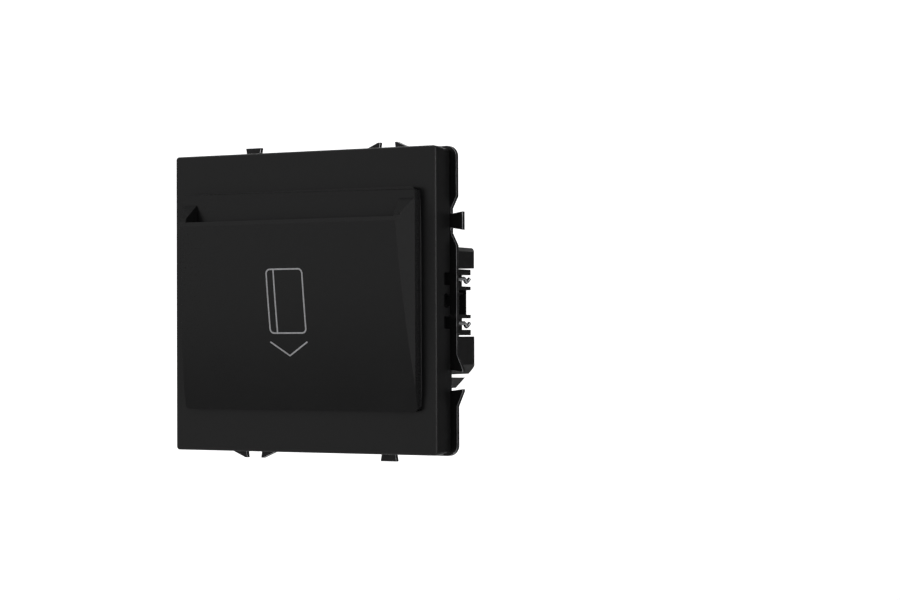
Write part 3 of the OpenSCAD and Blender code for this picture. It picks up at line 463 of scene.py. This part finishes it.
# Floors of the plate's side notches, which take painted shade
def in_plate_notch(n, c):
    return abs(n.x) > SIDEWAYS and within(c, *NOTCH)


def at_base(a, b):
    return max(abs(a.y - BASE_Y), abs(b.y - BASE_Y)) < NEAR


def pocket_side(a, b):
    return at_base(a, b) and min(abs(a.x), abs(b.x)) > POCKET_X - NEAR


def pocket_top(a, b):
    return at_base(a, b) and min(a.z, b.z) > POCKET_TOP - NEAR


# Eased pocket faces that take the painted edge highlight
def on_pocket_edge(n, c):
    side = abs(n.x) > PLUMB_SIDE and abs(c.x) > POCKET_X - EDGE_BAND
    return side or (c.z > POCKET_TOP - EDGE_BAND and slanted(n))


def on_sheared_edge(n, c):
    return 0.2 < abs(n.y) < 0.95


# The rim's eased edge gets a painted highlight, and the floors of the side notches get painted
# shade
eased("face_plate", 0.1, rounds=[(plate_rim, RIM_R, FOLD)],
      finishes=[("charcoal_edge_highlight", on_plate_rim), ("charcoal_painted_shade", in_plate_notch)])
# The pocket's eased side and top edges get a painted highlight
eased("card_pocket", 0.2,
      rounds=[(pocket_side, POCKET_SIDE_R, SHALLOW_FOLD), (pocket_top, POCKET_TOP_R, FOLD)],
      finishes=[("charcoal_edge_highlight", on_pocket_edge)])
eased("pocket_back", 0.15)
eased("support_frame", 0.12, finishes=[("sheared_steel", on_sheared_edge)])
for part in ("plate_clips", "frame_screws", "pocket_screws"):
    eased(part, 0.12)

# Housing and what is inside it
CREASE_RUN, CREASE_LEAN, CREASE_R = 3.0, 1.02, 0.9
# Boxes whose faces take painted shade: the catch recesses and the inner walls of the claw cavity
CATCH = ((18.0, 25.3), (7.8, 9.9), (-13.5, -9.4))
ARM_WINDOW = ((13.5, 18.0), (1.9, 13.0), (-6.2, 6.2))
EDGES = {
    "lever_carrier": 0.15, "card_lever": 0.2, "switch_case": 0.2, "switch_plunger": 0.15,
    "relay": 0.4, "film_capacitor": 0.5, "smoothing_capacitor": 0.5, "varistor": 0.8,
    "dropper_resistor": 0.7, "rectifier_diodes": 0.15, "terminal_block": 0.1,
    "terminal_bars": 0.08, "circuit_board": 0.08, "claw_nuts": 0.15,
}


def corner_crease(a, b):
    run = abs(a.y - b.y)
    return run > CREASE_RUN and (a - b).length < run * CREASE_LEAN


def in_recess(n, c):
    return within(c, *CATCH) or (abs(n.x) > SIDEWAYS and within(c, *ARM_WINDOW))


# The catch recesses and the claw cavity get painted shade
for part, width in (("front_housing", 0.22), ("rear_cover", 0.3)):
    eased(part, width, rounds=[(corner_crease, CREASE_R, CREASE_FOLD)],
          finishes=[("black_painted_shade", in_recess)])
for part, width in EDGES.items():
    eased(part, width)
for i in (1, 2, 3):
    eased(f"terminal_cage_{i}", 0.12)
    eased(f"terminal_screw_{i}", 0.1)
for part in ("lever_pin", "switch_pins"):
    NODES[part].data.materials.clear()
    NODES[part].data.materials.append(MAT[SLOT[part]])

# The lever's spring, built as a coil at one length; the real spring is pressed together as the
# lever swings
SPRING_R, SPRING_WIRE, SPRING_Z, SPRING_TURNS, SPRING_KEEP = 1.825, 0.35, -7.0, 5, 0.33
SPRING_FRONT, SPRING_REAR = -3.875, -0.475
STEPS = 12


def spring_coil(front, rear):
    steps = SPRING_TURNS * STEPS
    turns = [2 * math.pi * i / STEPS for i in range(steps + 1)]
    route = [(SPRING_R * math.cos(a), front + (rear - front) * i / steps,
              SPRING_Z + SPRING_R * math.sin(a)) for i, a in enumerate(turns)]
    mesh = swept("lever_spring_coil", route, SPRING_WIRE / 2, sides=10)
    coil = add("lever_spring_coil", mesh, BODY["lever_spring"], SLOT["lever_spring"],
               "lever_spring")
    shade(coil, angle=50.0, weigh=False)
    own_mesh(coil)


spring_coil(SPRING_FRONT, SPRING_REAR)

# Claws: a wire of two legs, joined by a cranked bar behind the saddle, and its screw
LEG_X, LEG_Z, END_Y, WIRE_R = 24.6, 5.0, 29.2, 0.5
PIVOT_Y, BEND = 9.2, 1.3
BAR_X, BAR_Y, BAR_Z = 21.7, 10.1, 2.6
SCREW_X, SCREW_D, SCREW_PITCH, SHANK_FROM, SHANK_TO = 19.5, 3.0, 0.5, 4.7, 27.0
HEAD_REACH = 0.015                  # metres; the CAD screw's plain shank, which ends past it, goes
CLAW_EDGE = 0.14


def leg(rise, dip):
    return [(LEG_X + 0.2, END_Y, LEG_Z + rise), (LEG_X, END_Y - 1.2, LEG_Z + rise - dip),
            (LEG_X, END_Y - 2.4, LEG_Z + rise), (LEG_X, END_Y - 4.0, LEG_Z + rise * 0.93),
            (LEG_X, PIVOT_Y + 6.0, LEG_Z + rise * 0.2), (LEG_X, PIVOT_Y + 2 * BEND, LEG_Z)]


def flip(points):
    return [(x, y, -z) for x, y, z in reversed(points)]


knee = [(LEG_X, PIVOT_Y + BEND * (1 - math.sin(a)), LEG_Z - BEND * (1 - math.cos(a)))
        for a in map(math.radians, QUARTER)]
crank = [(LEG_X, PIVOT_Y, BAR_Z + 0.6), (LEG_X - 0.35, PIVOT_Y + 0.05, BAR_Z + 0.25),
         (LEG_X - 1.3, PIVOT_Y + 0.4, BAR_Z), (BAR_X + 0.5, BAR_Y - 0.15, BAR_Z - 0.1),
         (BAR_X + 0.1, BAR_Y - 0.02, BAR_Z - 0.35), (BAR_X, BAR_Y, BAR_Z - 0.8)]
claw = leg(0.8, 0.8) + knee + crank + flip(knee + crank) + flip(leg(0.1, -0.8))
for side, s in (("right", 1), ("left", -1)):
    name = f"claw_wire_{side}_round"
    wire = add(name, swept(name, [(s * x, y, z) for x, y, z in claw], WIRE_R),
               f"claw_{side}", "zinc_steel", f"claw_wire_{side}")
    shade(wire, angle=40.0, weigh=False)
    eased(f"claw_screw_{side}", CLAW_EDGE, drop=lambda c: c.y > HEAD_REACH)
    name = f"claw_thread_{side}"
    shank = add(name, threaded(name, s * SCREW_X, 0.0, SHANK_FROM, SHANK_TO, SCREW_D, SCREW_PITCH),
                f"screw_{side}", "yellow_zinc")
    shade(shank, angle=60.0, weigh=False)
    eased(f"claw_saddle_{side}", CLAW_EDGE)

# Bead along the foot of the pocket's sides: height and width at each station
FOOT_STATIONS = [(-24.4, 0.06), (-21.0, 0.18), (14.0, 0.18), (23.6, 0.04)]
SUNK, LAP, HOLLOW = 0.02, 0.01, 0.35


def foot_bead(x, y, stations):
    vs, fs = [], []
    for s in (1, -1):
        first = len(vs)
        for z, w in stations:
            ring = [(x - SUNK, y + LAP), (x - SUNK, y - w),
                    (x + w * HOLLOW, y - w * HOLLOW), (x + w, y + LAP)]
            vs += [(s * a * MM, b * MM, z * MM) for a, b in ring]
        fs += [tuple(first + k for k in face) for face in tube_faces(len(stations), len(ring))]
    return mesh_of("foot_bead", vs, fs)


bead = foot_bead(POCKET_X, PLATE_Y, FOOT_STATIONS)
shade(add("foot_bead", bead, "cover", "charcoal_plastic"), angle=60.0)

# The print on the bowed front panel: a card with its stripe, and a chevron
LIP, TOE, BOW = Vector((-17.4, 18.1)), Vector((-11.1, -25.5)), 0.62
CHORD = (TOE - LIP).length
ALONG = (TOE - LIP) / CHORD
PANEL_R = (CHORD ** 2 / 4 + BOW ** 2) / (2 * BOW)
CENTRE = (LIP + TOE) / 2 + Vector((-ALONG.y, ALONG.x)) * (PANEL_R - BOW)
INK_W, INK_STEP, INK_FROM, INK_TO = 0.35, 1.2, 0.004, 0.022


def panel_y(z):
    return CENTRE.x - math.sqrt(PANEL_R ** 2 - (z - CENTRE.y) ** 2)


def stroke(points, width, closed):
    """Flat line of printed ink that follows the panel."""
    pts = []
    m = len(points)
    for i in range(m if closed else m - 1):
        a, b = Vector(points[i]), Vector(points[(i + 1) % m])
        k = max(1, int((b - a).length / INK_STEP))
        pts += [a + (b - a) * j / k for j in range(k)]
    if not closed:
        pts.append(Vector(points[-1]))
    verts, faces = [], []
    n = len(pts)
    for i, p in enumerate(pts):
        q = pts[(i + 1) % n] if closed or i < n - 1 else p
        o = pts[i - 1] if closed or i > 0 else p
        t = ((q - p).normalized() + (p - o).normalized()) if q != p and o != p else (q - o)
        t = t.normalized()
        half = Vector((-t.y, t.x)) * width / 2
        for e in (p + half, p - half):
            for lift in (INK_FROM, INK_TO):
                verts.append((e.x * MM, (panel_y(e.y) - lift) * MM, e.y * MM))
    for i in range(n if closed else n - 1):
        a, b = 4 * i, 4 * ((i + 1) % n)
        for u, v in ((1, 3), (3, 2), (2, 0), (0, 1)):
            faces.append((a + u, b + u, b + v, a + v))
    return verts, faces


def rounded(x0, x1, z0, z1, r):
    """The corners of an upright oblong, each rounded in four steps."""
    out = []
    corners = ((x1 - r, z1 - r), (x0 + r, z1 - r), (x0 + r, z0 + r), (x1 - r, z0 + r))
    for i, (cx, cz) in enumerate(corners):
        for a in (math.radians(90 * i + q) for q in QUARTER):
            out.append((cx + r * math.cos(a), cz + r * math.sin(a)))
    return out


CARD_LINE = rounded(-5.72, 3.97, -7.35, 7.55, 1.0)
STRIPE_LINE = [(-3.78, 7.4), (-3.78, -7.2)]
CHEVRON_LINE = [(-5.95, -9.4), (-0.9, -12.65), (4.12, -9.4)]
verts, faces = [], []
for line, closed in ((CARD_LINE, True), (STRIPE_LINE, False), (CHEVRON_LINE, False)):
    v, f = stroke(line, INK_W, closed)
    faces += [tuple(k + len(verts) for k in q) for q in f]
    verts += v
add("card_print", mesh_of("card_print", verts, faces), "cover", "card_print")


# Stage, light and camera, in metres

FLOOR_Z, FLOOR_FRONT, FLOOR_REAR, HALF_W = -0.35, -3.0, 1.2, 4.0
SWEEP_R, WALL_TOP = 0.8, 3.0
PAPER_LOW, PAPER_HIGH, PAPER_SHADE = (0.80, 0.80, 0.80), (0.84, 0.84, 0.84), (0.60, 0.60, 0.60)
TOWARDS_WALL, SHADE_SIDE, LIT_SIDE = (0.9, 1.3), (0.1, 0.6), (-0.1, -0.35)
PAPER_MM = 300.0


def backdrop():
    """Pale paper that sweeps up behind the part; its wall has painted light, a glow, at the left
    and painted shade at the right.
    """
    profile = [(FLOOR_FRONT, FLOOR_Z), (FLOOR_REAR, FLOOR_Z)]
    for a in (math.radians(9 * k) for k in range(1, 11)):
        profile.append((FLOOR_REAR + SWEEP_R * math.sin(a), FLOOR_Z + SWEEP_R * (1 - math.cos(a))))
    profile.append((FLOOR_REAR + SWEEP_R, WALL_TOP))
    vs = [(x, y, z) for y, z in profile for x in (-HALF_W, HALF_W)]
    fs = [(2 * i, 2 * i + 1, 2 * i + 3, 2 * i + 2) for i in range(len(profile) - 1)]
    mesh = mesh_of("backdrop", vs, fs)
    mesh.shade_smooth()
    at = begin("backdrop_paper")
    tone = noise(at, PAPER_MM, detail=2.0)
    wall = axis(at, 1).fit(*TOWARDS_WALL)
    paper = mix(tone, PAPER_LOW, PAPER_HIGH)
    finish(Base_Color=mix(axis(at, 0).fit(*SHADE_SIDE) * wall, paper, PAPER_SHADE),
           Roughness=tone.sway(0.1) + 0.9, Emission_Strength=1.0,
           Emission_Color=mix(wall * axis(at, 0).fit(*LIT_SIDE), (0, 0, 0), (1, 1, 1)))
    mesh.materials.append(MAT["backdrop_paper"])
    o = bpy.data.objects.new("backdrop", mesh)
    bpy.context.scene.collection.objects.link(o)


def softbox(name, at, to, w, h, watts):
    d = bpy.data.lights.new(name, "AREA")
    d.shape, d.size, d.size_y, d.energy = "RECTANGLE", w, h, watts
    o = bpy.data.objects.new(name, d)
    o.location = at
    o.rotation_mode = "QUATERNION"
    o.rotation_quaternion = (Vector(to) - Vector(at)).to_track_quat("-Z", "Y")
    bpy.context.scene.collection.objects.link(o)


MIDDLE, ROOM_LIGHT = (0, 0, 0), 0.08
backdrop()
softbox("left_front", (-0.42, -0.71, 0.31), (0, 0, 0.31), w=0.65, h=1.13, watts=2.08)
softbox("right_front", (0.85, -0.7, 0.3), MIDDLE, w=0.35, h=0.9, watts=3.2)
softbox("right", (1.2, 0.25, 0.3), MIDDLE, w=0.5, h=0.9, watts=2.05)
softbox("top", (-0.4, -0.25, 1.1), MIDDLE, w=1.0, h=1.0, watts=2.0)
world = bpy.data.worlds.new("studio")
world.use_nodes = True
room = world.node_tree.nodes["Background"].inputs
room["Color"].default_value = (1, 1, 1, 1)
room["Strength"].default_value = ROOM_LIGHT
bpy.context.scene.world = world
bpy.context.scene.view_settings.view_transform = "Standard"

YAW, PITCH, ROLL = (math.radians(a) for a in (26.838, 0.892, -0.229))
EYE = Vector((0.2625, -0.4511, -0.0077))
SENSOR_MM, LENS_MM, CLIP_NEAR, CLIP_FAR = 36.0, 87.08, 0.01, 20.0
ahead = Vector((-math.sin(YAW) * math.cos(PITCH), math.cos(YAW) * math.cos(PITCH), math.sin(PITCH)))
level = Vector((math.cos(YAW), math.sin(YAW), 0))
above = level.cross(ahead)
right = level * math.cos(ROLL) + above * math.sin(ROLL)
up = above * math.cos(ROLL) - level * math.sin(ROLL)
place = Matrix((right, up, -ahead)).transposed().to_4x4()
place.translation = EYE
cam = bpy.data.objects.new("camera", bpy.data.cameras.new("camera"))
cam.data.sensor_width, cam.data.lens = SENSOR_MM, LENS_MM
cam.data.clip_start, cam.data.clip_end = CLIP_NEAR, CLIP_FAR
cam.matrix_world = place
bpy.context.scene.collection.objects.link(cam)
bpy.context.scene.camera = cam
